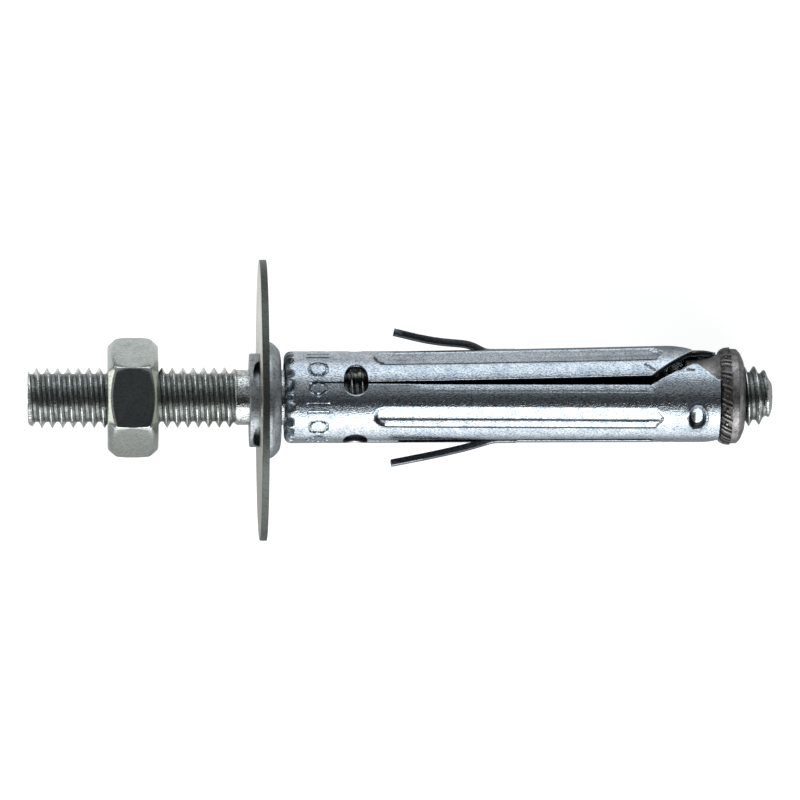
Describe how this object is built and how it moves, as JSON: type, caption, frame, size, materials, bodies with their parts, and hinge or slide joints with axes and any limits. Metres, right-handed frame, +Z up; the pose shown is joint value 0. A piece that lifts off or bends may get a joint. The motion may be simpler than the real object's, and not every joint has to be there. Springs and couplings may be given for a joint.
{
  "type": "steel expansion anchor",
  "caption": "Zinc-plated sleeve anchor: a stud with hex nut, wide washer on a domed bush, a slit sleeve with barbs, and a cone nut that spreads it.",
  "frame": {"origin": "centre of the bounding box at the floor that the anchor lies on", "axes": "+X along the anchor's length, from the nut end to the cone end; +Z up off the floor. The stud's axis leans 10.8 degrees down towards +X, as the anchor rests on the rims of its washer and its cone nut"},
  "size_m": [0.0712, 0.027, 0.0266],
  "materials": {
    "zinc_stud": "bright zinc plating on rolled thread",
    "zinc_nut": "bright zinc plating",
    "zinc_washer": "zinc plating on stamped sheet",
    "zinc_bush": "satin zinc plating",
    "zinc_sleeve": "bluish zinc plating on rolled sheet",
    "dull_cone": "dull grey"
  },
  "bodies": {
    "sleeve": {"expansion_sleeve": "zinc_sleeve"},
    "stud": {"stud": "zinc_stud", "cone_nut": "dull_cone"},
    "nut": {"hex_nut": "zinc_nut"},
    "washer": {"flat_washer": "zinc_washer", "domed_bush": "zinc_bush"}
  },
  "joints": [
    {"name": "nut_turn", "type": "hinge", "parent": "sleeve", "child": "nut", "pos_m": [-0.0251, 0.00028, 0.01542], "axis": [0.9821, 0, -0.1886], "range_deg": [0, 720]},
    {"name": "stud_draw", "type": "slide", "parent": "sleeve", "child": "stud", "axis": [-0.9821, 0, 0.1886], "range_m": [0, 0.002], "deforming": ["expansion_sleeve"]},
    {"name": "washer_slide", "type": "slide", "parent": "sleeve", "child": "washer", "axis": [-0.9821, 0, 0.1886], "range_m": [0, 0.0086]}
  ],
  "couplings": [
    {"joint": "nut_turn", "follows": "stud_draw", "rad_per_m": 6283.2}
  ]
}
